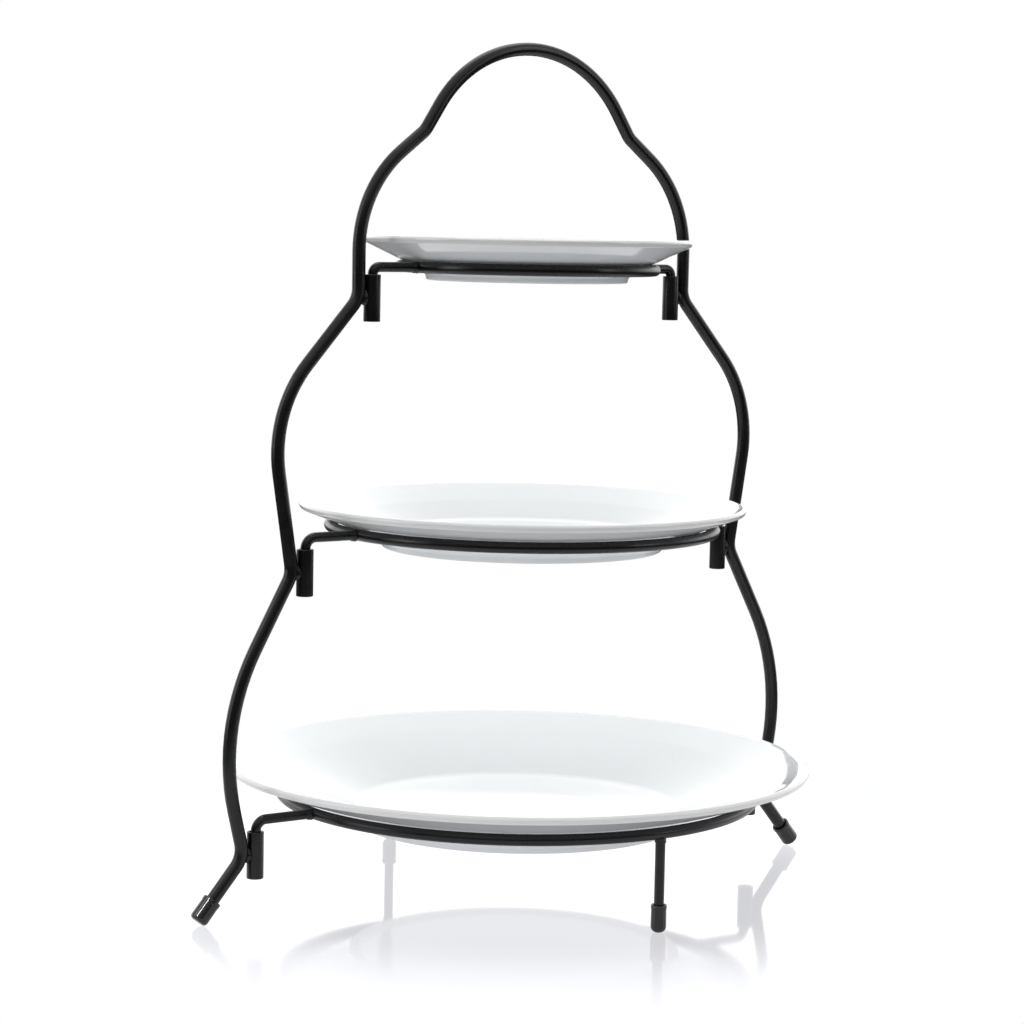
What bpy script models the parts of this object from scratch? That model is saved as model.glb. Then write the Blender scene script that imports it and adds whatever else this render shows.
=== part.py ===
"""Three-tier cake stand: a bent rod arch, three lift-out ring carriers and three plates.

Metres, +Z up. The origin is on the floor under the middle of the stand. The arch lies in
the XZ plane, and the front is towards -Y. Every tier is sized from its plate's rim, and
every height is taken from the middle of the ring that carries the plate.
"""

import math
from dataclasses import dataclass

import bmesh
import bpy
from mathutils import Vector

# Wire, tube and clearance
ROD_RADIUS = 0.0030
RING_WIRE_RADIUS = 0.0026
ARM_WIRE_RADIUS = 0.00225
SOCKET_WALL = 0.00125
SOCKET_LENGTH = 0.021
PIN_DEPTH = 0.0125
GAP = 0.0003

# Bends of the arch, and its handle
KINK_RADIUS = 0.012
SHOULDER_RADIUS = 0.012
HANDLE_RADIUS = 0.059
HANDLE_RISE = 0.0998
SHOULDER_HALF_WIDTH = 0.0571
SHOULDER_DROP = 0.0386
FOOT_SPREAD = 0.03285

# Caps on the rod's ends and on the legs
CAP_WALL = 0.0011
CAP_FLOOR = 0.0020
CAP_EDGE = 0.0018
ROD_CAP_LENGTH = 0.0115
LEG_CAP_LENGTH = 0.0125

# Plates
PLATE_WALL = 0.0040
PLATE_BASE = 0.0045
PLATE_FOOT_HEIGHT = 0.0030
PLATE_FOOT_WIDTH = 0.0045
PLATE_RECESS = 0.0018
LIP_HEIGHT = 0.0035
LIP_ROUND = 0.0016

# Weld fillets: half sizes of the bead before its neighbours are cut from it
SOCKET_BEAD = (0.0030, 0.0036, 0.0042)
ARM_BEAD = (0.0034, 0.0034, 0.0029)
LEG_BEAD = (0.0036, 0.0031, 0.0036)

# Facets
PLATE_STEPS = 48
CAP_STEPS = 16
WIRE_RESOLUTION = 3
TUBE_SEGMENTS = 16
BEAD_SEGMENTS = 12
BEAD_RINGS = 6
ARC_STEP = math.radians(9)
ROUND_STEPS = 3
MERGE = 0.00001

SIDES = {"left": -1, "right": 1}


@dataclass(frozen=True)
class Tier:
    """One tier: its plate, the ring that carries it, and the arch's swell beside it."""

    name: str
    rim_radius: float
    ring_height: float
    rim_overhang: float
    rim_rise: float
    foot_inset: float
    foot_drop: float
    socket_out: float
    socket_drop: float
    belly_out: float
    belly_up: float
    belly_radius: float

    @property
    def ring_radius(self):
        return self.rim_radius - self.rim_overhang

    @property
    def foot_radius(self):
        return self.ring_radius - self.foot_inset

    @property
    def socket_x(self):
        return self.rim_radius + self.socket_out

    @property
    def socket_top(self):
        return self.ring_height - self.socket_drop

    @property
    def socket_middle(self):
        return self.socket_top - SOCKET_LENGTH / 2

    @property
    def plate_base(self):
        return self.ring_height - self.foot_drop

    @property
    def belly(self):
        return self.rim_radius + self.belly_out, self.ring_height + self.belly_up


BOTTOM = Tier(
    name="bottom",
    rim_radius=0.1365,
    ring_height=0.0443,
    rim_overhang=0.02585,
    rim_rise=0.0151,
    foot_inset=0.0330,
    foot_drop=0.01355,
    socket_out=0.0041,
    socket_drop=0.0050,
    belly_out=0.02385,
    belly_up=0.0423,
    belly_radius=0.100,
)
MIDDLE = Tier(
    name="middle",
    rim_radius=0.1040,
    ring_height=0.1688,
    rim_overhang=0.0146,
    rim_rise=0.0114,
    foot_inset=0.0244,
    foot_drop=0.0099,
    socket_out=0.0129,
    socket_drop=0.0050,
    belly_out=0.0310,
    belly_up=0.0563,
    belly_radius=0.058,
)
TOP = Tier(
    name="top",
    rim_radius=0.0765,
    ring_height=0.2885,
    rim_overhang=0.0176,
    rim_rise=0.0142,
    foot_inset=0.0124,
    foot_drop=0.0061,
    socket_out=0.0074,
    socket_drop=0.0033,
    belly_out=0.0147,
    belly_up=0.0347,
    belly_radius=0.0556,
)
TIERS = (BOTTOM, MIDDLE, TOP)

SOCKET_BORE = ARM_WIRE_RADIUS + GAP
SOCKET_RADIUS = SOCKET_BORE + SOCKET_WALL
ROD_CAP_RADIUS = ROD_RADIUS + GAP + CAP_WALL


def clear_scene():
    for obj in list(bpy.data.objects):
        bpy.data.objects.remove(obj, do_unlink=True)


def new_collection(name):
    collection = bpy.data.collections.new(name)
    bpy.context.scene.collection.children.link(collection)
    return collection


def new_material(name, colour, roughness, metallic):
    material = bpy.data.materials.new(name)
    material.use_nodes = True
    shader = material.node_tree.nodes["Principled BSDF"]
    shader.inputs["Base Color"].default_value = (*colour, 1.0)
    shader.inputs["Roughness"].default_value = roughness
    shader.inputs["Metallic"].default_value = metallic
    material.diffuse_color = (*colour, 1.0)
    return material


def new_empty(name, location):
    """A frame for one rigid body, at the middle of the piece that it moves."""
    empty = bpy.data.objects.new(name, None)
    empty.empty_display_size = 0.02
    empty.location = location
    parts.objects.link(empty)
    return empty


def place(obj, parent, location):
    """Puts obj at a world location under a parent that has no rotation."""
    obj.parent = parent
    obj.location = Vector(location) - parent.location


def shade_round(obj, angle=math.radians(40)):
    obj.data.shade_smooth()
    obj.data.set_sharp_from_angle(angle=angle)


def finish(obj, material, parent, location):
    obj.data.materials.append(material)
    place(obj, parent, location)
    return obj


def mesh_object(name, bm, collection):
    mesh = bpy.data.meshes.new(name)
    bm.to_mesh(mesh)
    bm.free()
    obj = bpy.data.objects.new(name, mesh)
    collection.objects.link(obj)
    return obj


def cylinder(name, radius, length, collection):
    """A closed cylinder on Z whose lower end is at the origin."""
    bm = bmesh.new()
    bmesh.ops.create_cone(
        bm,
        cap_ends=True,
        segments=TUBE_SEGMENTS,
        radius1=radius,
        radius2=radius,
        depth=length,
    )
    bmesh.ops.translate(bm, verts=bm.verts, vec=(0, 0, length / 2))
    return mesh_object(name, bm, collection)


def bead(name, half_sizes, location):
    """The ellipsoid that a weld fillet is cut from."""
    bm = bmesh.new()
    bmesh.ops.create_uvsphere(
        bm, u_segments=BEAD_SEGMENTS, v_segments=BEAD_RINGS, radius=1.0
    )
    bmesh.ops.scale(bm, verts=bm.verts, vec=half_sizes)
    obj = mesh_object(name, bm, cutters)
    obj.location = location
    return as_cutter(obj)


def torus(name, radius, wire_radius, collection):
    bpy.ops.mesh.primitive_torus_add(
        major_radius=radius,
        minor_radius=wire_radius,
        major_segments=PLATE_STEPS,
        minor_segments=2 * (WIRE_RESOLUTION + 2),
    )
    obj = bpy.context.object
    obj.name = name
    for owner in list(obj.users_collection):
        owner.objects.unlink(obj)
    collection.objects.link(obj)
    return obj


def wire(name, points, radius, collection):
    """A round wire along points, with flat filled ends."""
    curve = bpy.data.curves.new(name, "CURVE")
    curve.dimensions = "3D"
    curve.bevel_depth = radius
    curve.bevel_resolution = WIRE_RESOLUTION
    curve.use_fill_caps = True
    spline = curve.splines.new("POLY")
    spline.points.add(len(points) - 1)
    for spline_point, point in zip(spline.points, points):
        spline_point.co = (*point, 1.0)
    obj = bpy.data.objects.new(name, curve)
    collection.objects.link(obj)
    return obj


def mesh_wire(name, points, radius, collection):
    """The same wire as a closed mesh, which a Boolean can cut."""
    curve = wire(name + "_path", points, radius, collection)
    graph = bpy.context.evaluated_depsgraph_get()
    mesh = bpy.data.meshes.new_from_object(curve.evaluated_get(graph))
    bm = bmesh.new()
    bm.from_mesh(mesh)
    bmesh.ops.remove_doubles(bm, verts=bm.verts, dist=MERGE)
    bm.to_mesh(mesh)
    bm.free()
    obj = bpy.data.objects.new(name, mesh)
    obj.matrix_world = curve.matrix_world
    collection.objects.link(obj)
    bpy.data.objects.remove(curve, do_unlink=True)
    return obj


def turned(name, profile, steps, collection):
    """A closed solid turned about Z. The profile runs down its outer side."""
    mesh = bpy.data.meshes.new(name)
    edges = [(i, i + 1) for i in range(len(profile) - 1)]
    mesh.from_pydata([(x, 0.0, z) for x, z in profile], edges, [])
    obj = bpy.data.objects.new(name, mesh)
    collection.objects.link(obj)
    screw = obj.modifiers.new("turn", "SCREW")
    screw.axis = "Z"
    screw.steps = steps
    screw.render_steps = steps
    screw.use_merge_vertices = True
    screw.merge_threshold = MERGE
    screw.use_smooth_shade = True
    return obj


def as_cutter(obj):
    obj.hide_render = True
    obj.display_type = "WIRE"
    return obj


def join_or_cut(obj, other, operation):
    boolean = obj.modifiers.new(operation.lower() + "_" + other.name, "BOOLEAN")
    boolean.operation = operation
    boolean.solver = "EXACT"
    boolean.object = other


def turn_at(before, corner, after):
    return math.pi - (before - corner).angle(after - corner)


def fitting_share(corners, i):
    """The share of its radius that corner i may have before its bend meets the next one."""
    share = 1.0
    reaches = []
    for j in (i - 1, i, i + 1):
        reach = 0.0
        if 0 < j < len(corners) - 1:
            turn = turn_at(*(point for point, _ in corners[j - 1 : j + 2]))
            reach = corners[j][1] * math.tan(turn / 2)
        reaches.append(reach)
    for j, neighbour in ((i - 1, reaches[0]), (i + 1, reaches[2])):
        run = (corners[j][0] - corners[i][0]).length
        share = min(share, run / (reaches[1] + neighbour))
    return share


def rounded_corner(before, corner, after, radius):
    """Points of the arc that rounds a corner between two straight runs."""
    to_before = (before - corner).normalized()
    to_after = (after - corner).normalized()
    turn = turn_at(before, corner, after)
    reach = radius * math.tan(turn / 2)
    centre = corner + (to_before + to_after).normalized() * math.hypot(radius, reach)
    first = (corner + to_before * reach - centre).normalized()
    last = (corner + to_after * reach - centre).normalized()
    steps = max(2, math.ceil(turn / ARC_STEP))
    return [centre + first.slerp(last, i / steps) * radius for i in range(steps + 1)]


def bent_path(corners):
    """Points along a path of straight runs whose inner corners, (point, radius), are rounded."""
    points = [corners[0][0]]
    for i in range(1, len(corners) - 1):
        corner, radius = corners[i]
        radius *= fitting_share(corners, i)
        points += rounded_corner(corners[i - 1][0], corner, corners[i + 1][0], radius)
    points.append(corners[-1][0])
    return points


def in_arch(x, z):
    return Vector((x, 0.0, z))


def lean(start, end):
    """How far the run from start to end leans outwards from the vertical."""
    return math.atan2(end.x - start.x, abs(end.z - start.z))


def kink(tier, below, above):
    """The corner of the arch beside a socket, set so that its bend just clears the tube."""
    clear_x = tier.socket_x + SOCKET_RADIUS + GAP + ROD_RADIUS
    corner = in_arch(clear_x, tier.socket_middle)
    for _ in range(4):
        down = lean(corner, below)
        up = lean(corner, above)
        stretch = math.cos((down - up) / 2) / math.cos((down + up) / 2)
        corner.x = clear_x + KINK_RADIUS * (1 - stretch)
    return corner


def handle_corner(shoulder):
    """Where the handle's two straight flanks would meet above its round top."""
    centre_z = TOP.ring_height + HANDLE_RISE - HANDLE_RADIUS
    from_centre = Vector((shoulder.x, shoulder.z - centre_z))
    lean_of_flank = math.atan2(from_centre.y, from_centre.x)
    lean_of_flank += math.acos(HANDLE_RADIUS / from_centre.length)
    return in_arch(0.0, centre_z + HANDLE_RADIUS / math.sin(lean_of_flank))


def foot_point(bend):
    """The middle of a rod cap's end face, low enough for its rounded edge to meet the floor."""
    foot = in_arch(BOTTOM.rim_radius + FOOT_SPREAD, 0.0)
    for _ in range(3):
        slope = lean(foot, bend)
        edge = CAP_EDGE * (1 - math.cos(slope))
        foot.z = edge + (ROD_CAP_RADIUS - CAP_EDGE) * math.sin(abs(slope))
    return foot


def arch_corners():
    """The corners of the arch's right half, from the foot up to the handle, with their radii."""
    bellies = [in_arch(*tier.belly) for tier in TIERS]
    shoulder_z = TOP.ring_height + HANDLE_RISE - SHOULDER_DROP
    shoulder = in_arch(SHOULDER_HALF_WIDTH, shoulder_z)
    below = foot_point(in_arch(BOTTOM.socket_x, BOTTOM.socket_middle))
    corners = []
    for tier, belly in zip(TIERS, bellies):
        corners.append((kink(tier, below, belly), KINK_RADIUS))
        corners.append((belly, tier.belly_radius))
        below = belly
    corners.append((shoulder, SHOULDER_RADIUS))
    corners.append((handle_corner(shoulder), HANDLE_RADIUS))
    first_kink = corners[0][0]
    return [(foot_point(first_kink), 0.0)] + corners


def foot_direction(corners):
    return (corners[0][0] - corners[1][0]).normalized()


def arch_path(corners):
    """The whole rod, ending inside the caps on its feet."""
    rod_end = corners[0][0] - foot_direction(corners) * (CAP_FLOOR + GAP)
    right = [(rod_end, 0.0)] + corners[1:]
    left = [(in_arch(-point.x, point.z), radius) for point, radius in right[:-1]]
    return bent_path(right + left[::-1])


def cap_profile(bore, length):
    """A cup, from the middle of its floor inside, over its mouth and down its outer side."""
    outer = bore + CAP_WALL
    profile = [(0.0, CAP_FLOOR), (bore, CAP_FLOOR), (bore, length)]
    profile += [(outer - CAP_EDGE / 3, length), (outer, length - CAP_EDGE / 3)]
    for i in range(ROUND_STEPS + 1):
        angle = math.radians(90) * i / ROUND_STEPS
        x = outer - CAP_EDGE + CAP_EDGE * math.cos(angle)
        z = CAP_EDGE - CAP_EDGE * math.sin(angle)
        profile.append((x, z))
    profile.append((0.0, 0.0))
    return profile


def plate_profile(tier):
    """A plate with a sloping wall and a rolled lip, from its well, over the lip, to its foot."""
    rim = tier.rim_radius
    height = tier.foot_drop + tier.rim_rise
    foot = tier.foot_radius
    wall_foot = Vector((foot + LIP_ROUND / 2, PLATE_FOOT_HEIGHT))
    wall_head = Vector((rim - LIP_ROUND, height - LIP_HEIGHT))
    slope = math.atan2(wall_head.y - wall_foot.y, wall_head.x - wall_foot.x)
    normal = Vector((-math.sin(slope), math.cos(slope)))
    ring = Vector((tier.ring_radius, tier.foot_drop))
    seat = ring + normal * (RING_WIRE_RADIUS + GAP)
    well_height = PLATE_RECESS + PLATE_BASE
    inside = [
        (0.0, well_height),
        (foot - PLATE_FOOT_WIDTH, well_height),
        (foot, well_height + PLATE_WALL / 5),
        tuple(seat + normal * PLATE_WALL),
        (rim - LIP_HEIGHT, height - LIP_ROUND / 3),
    ]
    lip = []
    for i in range(ROUND_STEPS + 1):
        angle = math.radians(90 - 130 * i / ROUND_STEPS)
        x = rim - LIP_ROUND + LIP_ROUND * math.cos(angle)
        z = height - LIP_ROUND + LIP_ROUND * math.sin(angle)
        lip.append((x, z))
    outside = [
        tuple(wall_head),
        tuple(seat),
        tuple(wall_foot),
        (foot, PLATE_FOOT_HEIGHT / 3),
        (foot - LIP_ROUND / 2, 0.0),
        (foot - PLATE_FOOT_WIDTH + LIP_ROUND / 2, 0.0),
        (foot - PLATE_FOOT_WIDTH, PLATE_RECESS),
        (0.0, PLATE_RECESS),
    ]
    return inside + lip + outside


def build_arch(corners, black):
    """The one rod that makes both feet, both flanks and the handle."""
    frame = new_empty("arch_frame", (0, 0, 0))
    rod = wire("arch_rod", arch_path(corners), ROD_RADIUS, parts)
    finish(rod, black, frame, (0, 0, 0))
    return frame


def build_socket(tier, side, rod_space, frame, black):
    """A tube that takes one pin of a carrier, with the weld that holds it to the rod."""
    sign = SIDES[side]
    name = f"{tier.name}_socket_{side}"
    x = sign * tier.socket_x
    base = (x, 0.0, tier.socket_top - SOCKET_LENGTH)
    tube = cylinder(name, SOCKET_RADIUS, SOCKET_LENGTH, parts)
    finish(tube, black, frame, base)
    weld_x = x + sign * (SOCKET_RADIUS + GAP / 2)
    weld = bead(name + "_weld", SOCKET_BEAD, (weld_x, 0.0, tier.socket_middle))
    bore = as_cutter(cylinder(name + "_bore", SOCKET_BORE, 2 * SOCKET_LENGTH, cutters))
    bore.location = (x, 0.0, base[2] - SOCKET_LENGTH / 2)
    join_or_cut(tube, weld, "UNION")
    join_or_cut(tube, rod_space, "DIFFERENCE")
    join_or_cut(tube, bore, "DIFFERENCE")
    shade_round(tube)


def build_rod_cap(corners, side, frame, rubber):
    """The cap on one end of the rod, in line with the end that it covers."""
    sign = SIDES[side]
    foot = corners[0][0]
    along = -foot_direction(corners)
    profile = cap_profile(ROD_RADIUS + GAP, ROD_CAP_LENGTH)
    cap = turned(f"rod_cap_{side}", profile, CAP_STEPS, parts)
    finish(cap, rubber, frame, (sign * foot.x, 0.0, foot.z))
    cap.rotation_euler = (0.0, sign * math.atan2(along.x, along.z), 0.0)


def build_ring(tier, carrier, black):
    """The hoop that the plate sits in, and the space around it that its arms stop at."""
    height = (0, 0, tier.ring_height)
    ring = torus(f"{tier.name}_ring", tier.ring_radius, RING_WIRE_RADIUS, parts)
    finish(ring, black, carrier, height)
    shade_round(ring)
    around = torus(
        f"{tier.name}_ring_space", tier.ring_radius, RING_WIRE_RADIUS + GAP, cutters
    )
    around.location = height
    return as_cutter(around)


def build_arm(tier, side, ring_space, carrier, black):
    """A wire from the ring out to a socket, whose bent end is the pin."""
    sign = SIDES[side]
    name = f"{tier.name}_arm_{side}"
    x = sign * tier.socket_x
    corners = [
        (in_arch(sign * tier.ring_radius, tier.ring_height), 0.0),
        (in_arch(x, tier.ring_height), tier.socket_drop),
        (in_arch(x, tier.socket_top - PIN_DEPTH), 0.0),
    ]
    middle = Vector((0, 0, tier.ring_height))
    points = [point - middle for point in bent_path(corners)]
    arm = mesh_wire(name, points, ARM_WIRE_RADIUS, parts)
    finish(arm, black, carrier, middle)
    weld_x = sign * (tier.ring_radius + RING_WIRE_RADIUS)
    weld = bead(name + "_weld", ARM_BEAD, (weld_x, 0.0, tier.ring_height))
    join_or_cut(arm, weld, "UNION")
    join_or_cut(arm, ring_space, "DIFFERENCE")
    shade_round(arm)


def build_leg(name, sign, ring_space, carrier, black, rubber):
    """A straight leg under the bottom ring, with the cap that it stands in."""
    y = sign * BOTTOM.ring_radius
    height = BOTTOM.ring_height
    low = CAP_FLOOR + GAP
    points = [Vector((0, 0, low)), Vector((0, 0, height))]
    leg = mesh_wire(f"{name}_leg", points, ARM_WIRE_RADIUS, parts)
    finish(leg, black, carrier, (0, y, 0))
    weld = bead(f"{name}_leg_weld", LEG_BEAD, (0, y, height - RING_WIRE_RADIUS))
    join_or_cut(leg, weld, "UNION")
    join_or_cut(leg, ring_space, "DIFFERENCE")
    shade_round(leg)
    profile = cap_profile(ARM_WIRE_RADIUS + GAP, LEG_CAP_LENGTH)
    cap = turned(f"{name}_leg_cap", profile, CAP_STEPS, parts)
    finish(cap, rubber, carrier, (0, y, 0))


def build_plate(tier, carrier, porcelain):
    body = new_empty(f"{tier.name}_plate_body", (0, 0, tier.plate_base))
    body.parent = carrier
    body.location = Vector((0, 0, tier.plate_base)) - carrier.location
    plate = turned(f"{tier.name}_plate", plate_profile(tier), PLATE_STEPS, parts)
    plate.data.materials.append(porcelain)
    plate.parent = body


def build_stand():
    black = new_material("black_powder_coat", (0.012, 0.012, 0.014), 0.38, 0.0)
    rubber = new_material("black_cap", (0.010, 0.010, 0.011), 0.22, 0.0)
    porcelain = new_material("white_porcelain", (0.86, 0.87, 0.88), 0.10, 0.0)
    corners = arch_corners()
    frame = build_arch(corners, black)
    rod_space = mesh_wire("rod_space", arch_path(corners), ROD_RADIUS + GAP, cutters)
    as_cutter(rod_space)
    for side in SIDES:
        build_rod_cap(corners, side, frame, rubber)
    for tier in TIERS:
        carrier = new_empty(f"{tier.name}_carrier", (0, 0, tier.ring_height))
        ring_space = build_ring(tier, carrier, black)
        for side in SIDES:
            build_socket(tier, side, rod_space, frame, black)
            build_arm(tier, side, ring_space, carrier, black)
        if tier is BOTTOM:
            build_leg("front", -1, ring_space, carrier, black, rubber)
            build_leg("rear", 1, ring_space, carrier, black, rubber)
        build_plate(tier, carrier, porcelain)


clear_scene()
parts = new_collection("tiered_cake_stand")
cutters = new_collection("cutters")
build_stand()
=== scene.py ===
"""Looks of a three-tier cake stand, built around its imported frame.

Metres, +Z up. The arch lies in the XZ plane and the front is towards -Y. Every visible
piece takes its place from the frame's own boxes, replaces the plain solid that it stands
for, and rides on that solid's body.
"""

import functools
import logging
import math
from collections.abc import Callable, Sequence
from dataclasses import dataclass, field
from enum import Enum

import bmesh
import bpy
from mathutils import Matrix, Vector, noise


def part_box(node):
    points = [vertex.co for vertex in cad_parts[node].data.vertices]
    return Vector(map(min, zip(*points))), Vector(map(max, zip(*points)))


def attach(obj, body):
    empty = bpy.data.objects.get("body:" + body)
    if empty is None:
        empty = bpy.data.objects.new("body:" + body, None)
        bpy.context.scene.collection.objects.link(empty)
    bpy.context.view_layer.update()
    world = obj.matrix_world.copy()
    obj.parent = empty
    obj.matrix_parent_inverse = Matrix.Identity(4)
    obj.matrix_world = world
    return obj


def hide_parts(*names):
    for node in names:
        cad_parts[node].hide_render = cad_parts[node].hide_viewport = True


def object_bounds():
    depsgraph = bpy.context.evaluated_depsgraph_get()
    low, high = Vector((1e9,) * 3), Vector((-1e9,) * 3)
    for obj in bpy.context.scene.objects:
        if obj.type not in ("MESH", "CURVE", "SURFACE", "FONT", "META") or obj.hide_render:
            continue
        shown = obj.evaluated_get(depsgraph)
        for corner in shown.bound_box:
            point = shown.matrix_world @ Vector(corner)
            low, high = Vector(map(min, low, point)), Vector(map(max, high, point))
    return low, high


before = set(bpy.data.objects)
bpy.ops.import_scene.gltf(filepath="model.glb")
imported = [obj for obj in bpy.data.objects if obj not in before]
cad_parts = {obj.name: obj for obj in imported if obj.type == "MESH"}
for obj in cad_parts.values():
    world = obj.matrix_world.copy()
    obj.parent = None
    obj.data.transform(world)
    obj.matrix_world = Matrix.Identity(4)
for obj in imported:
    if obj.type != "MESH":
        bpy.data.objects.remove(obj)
CAD_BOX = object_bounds()

log = logging.getLogger("cake_stand")

Socket = bpy.types.NodeSocket
Colour = tuple[float, float, float]
Span = tuple[float, float]
Outline = list[Span]
Extents = tuple[float, float, float]
TOUCHING = 1e-6
UNDIVIDED = 1.0
WHITE = (1.0, 1.0, 1.0)
X_AXIS = Vector((1.0, 0.0, 0.0))
Y_AXIS = Vector((0.0, 1.0, 0.0))
Z_AXIS = Vector((0.0, 0.0, 1.0))


class Side(Enum):
    """The two sides of the arch, as the sign of X there."""

    LEFT = -1
    RIGHT = 1

    @property
    def word(self) -> str:
        """The side's name as the frame's nodes spell it."""
        return self.name.lower()


class Slot(Enum):
    """The material slots that the pieces are sorted into."""

    BLACK = "black_powder_coat"
    CAP = "black_cap"
    PORCELAIN = "white_porcelain"


class Graph:
    """The nodes of one material or world."""

    def __init__(self, tree: bpy.types.NodeTree) -> None:
        """Starts from an empty tree.

        Args:
            tree: the node tree to fill.
        """
        tree.nodes.clear()
        self.tree = tree

    def add(self, kind: str, inputs: dict | None = None, **settings: object) -> bpy.types.Node:
        """Adds one node.

        Args:
            kind: the node's type, without its ShaderNode prefix.
            inputs: values for its sockets by name or number; an output socket is linked.
            settings: the node's own settings.

        Returns:
            The new node.
        """
        node = self.tree.nodes.new("ShaderNode" + kind)
        for name, value in settings.items():
            setattr(node, name, value)
        for key, value in (inputs or {}).items():
            if isinstance(value, Socket):
                self.tree.links.new(value, node.inputs[key])
            else:
                node.inputs[key].default_value = value
        return node

    def place(self) -> Socket:
        """The point in the piece's own metres."""
        return self.add("TexCoord").outputs["Object"]

    def speckle(self, size: float, detail: float = 2.0, where: object = None) -> Socket:
        """A noise whose features are about size across.

        Args:
            size: the feature size in metres.
            detail: how many finer layers it has.
            where: the coordinates, or None for the piece's own.

        Returns:
            The noise, from 0 to 1.
        """
        inputs = {"Vector": where or self.place(), "Scale": 1.0 / size, "Detail": detail}
        return self.add("TexNoise", inputs).outputs["Fac"]

    def spread(self, value: Socket, source: Sequence, target: Sequence) -> Socket:
        """Maps one range onto another, and clamps it.

        Args:
            value: what is mapped.
            source: its lowest and highest values.
            target: what they become.

        Returns:
            The mapped value.
        """
        inputs = {
            "Value": value,
            "From Min": source[0],
            "From Max": source[1],
            "To Min": target[0],
            "To Max": target[1],
        }
        node = self.add("MapRange", inputs, interpolation_type="SMOOTHSTEP")
        return node.outputs["Result"]

    def blend(self, share: object, low: object, high: object) -> Socket:
        """Mixes two colours.

        Args:
            share: how much of high, from 0 to 1.
            low: the colour at 0.
            high: the colour at 1.

        Returns:
            The mixed colour.
        """
        inputs = {"Factor": share, 6: low, 7: high}
        return self.add("Mix", inputs, data_type="RGBA").outputs[2]

    def combine(self, first: object, second: object, kind: str = "ADD") -> Socket:
        """One step of arithmetic.

        Args:
            first: the first value.
            second: the second value.
            kind: the operation.

        Returns:
            The result.
        """
        return self.add("Math", {0: first, 1: second}, operation=kind).outputs[0]

    def bump(self, height: Socket, depth: float, below: object = None) -> Socket:
        """A relief on the surface.

        Args:
            height: its height, from 0 to 1.
            depth: how deep that is, in metres.
            below: the relief that it lies on, or None.

        Returns:
            The bumped normal.
        """
        inputs = {"Height": height, "Distance": depth, "Strength": 1.0}
        if below is not None:
            inputs["Normal"] = below
        return self.add("Bump", inputs).outputs["Normal"]

    def surface(self, shader: bpy.types.Node) -> None:
        """Makes shader the surface of this material or world."""
        kind = "OutputWorld" if shader.bl_idname == "ShaderNodeBackground" else "OutputMaterial"
        self.add(kind, {"Surface": shader.outputs[0]})


def new_graph(name: str) -> tuple[bpy.types.Material, Graph]:
    """A new material with an empty tree.

    Args:
        name: the material's name.

    Returns:
        The material and its graph.
    """
    material = bpy.data.materials.new(name)
    material.use_nodes = True
    return material, Graph(material.node_tree)


def tinted(colour: Colour, gain: float = 1.0) -> tuple[float, float, float, float]:
    """A colour made lighter or darker, with the alpha that sockets want."""
    return (colour[0] * gain, colour[1] * gain, colour[2] * gain, 1.0)


def shades(colour: Colour, gains: Span) -> list[tuple[float, float, float, float]]:
    """The two shades of a colour that a finish varies between."""
    return [tinted(colour, gain) for gain in gains]


@dataclass(frozen=True)
class PowderCoat:
    """Satin black powder coat: a fine orange peel over slightly uneven wire."""

    colour: Colour = (0.0042, 0.0042, 0.0046)
    unevenness: float = 0.30
    roughness: Span = (0.24, 0.34)
    specular: float = 0.40
    patch: float = 0.012
    patch_band: Span = (0.3, 0.7)
    peel: float = 0.0012
    peel_depth: float = 0.000007
    grain: float = 0.00035
    grain_depth: float = 0.0000025

    def material(self) -> bpy.types.Material:
        """Builds the finish.

        Returns:
            The material.
        """
        material, graph = new_graph("satin_black_coat")
        patches = graph.speckle(self.patch, detail=3.0)
        peel = graph.speckle(self.peel)
        grain = graph.speckle(self.grain)
        dark = tinted(self.colour, 1.0 - self.unevenness)
        light = tinted(self.colour, 1.0 + self.unevenness)
        relief = graph.bump(peel, self.peel_depth)
        inputs = {
            "Base Color": graph.blend(graph.combine(patches, grain, "MULTIPLY"), dark, light),
            "Roughness": graph.spread(patches, self.patch_band, self.roughness),
            "Specular IOR Level": self.specular,
            "Normal": graph.bump(grain, self.grain_depth, relief),
        }
        graph.surface(graph.add("BsdfPrincipled", inputs))
        return material


@dataclass(frozen=True)
class CapVinyl:
    """Glossy black vinyl with faint flow marks and fine scuffs."""

    colour: Colour = (0.0075, 0.0075, 0.0080)
    roughness: Span = (0.05, 0.12)
    flow: float = 0.004
    flow_depth: float = 0.000015
    specular: float = 0.5
    scuff: float = 0.0007
    scuff_scale: Extents = (1.0, 1.0, 0.2)
    scuff_band: Span = (0.45, 0.75)
    scuff_shades: Span = (0.8, 1.4)

    def material(self) -> bpy.types.Material:
        """Builds the finish.

        Returns:
            The material.
        """
        material, graph = new_graph("glossy_black_vinyl")
        flow = graph.speckle(self.flow, detail=1.0)
        squash = graph.add("Mapping", {"Vector": graph.place(), "Scale": self.scuff_scale})
        scuffs = graph.speckle(self.scuff, 4.0, squash.outputs["Vector"])
        inputs = {
            "Base Color": graph.blend(scuffs, *shades(self.colour, self.scuff_shades)),
            "Roughness": graph.spread(scuffs, self.scuff_band, self.roughness),
            "Specular IOR Level": self.specular,
            "Normal": graph.bump(flow, self.flow_depth),
        }
        graph.surface(graph.add("BsdfPrincipled", inputs))
        return material


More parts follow.
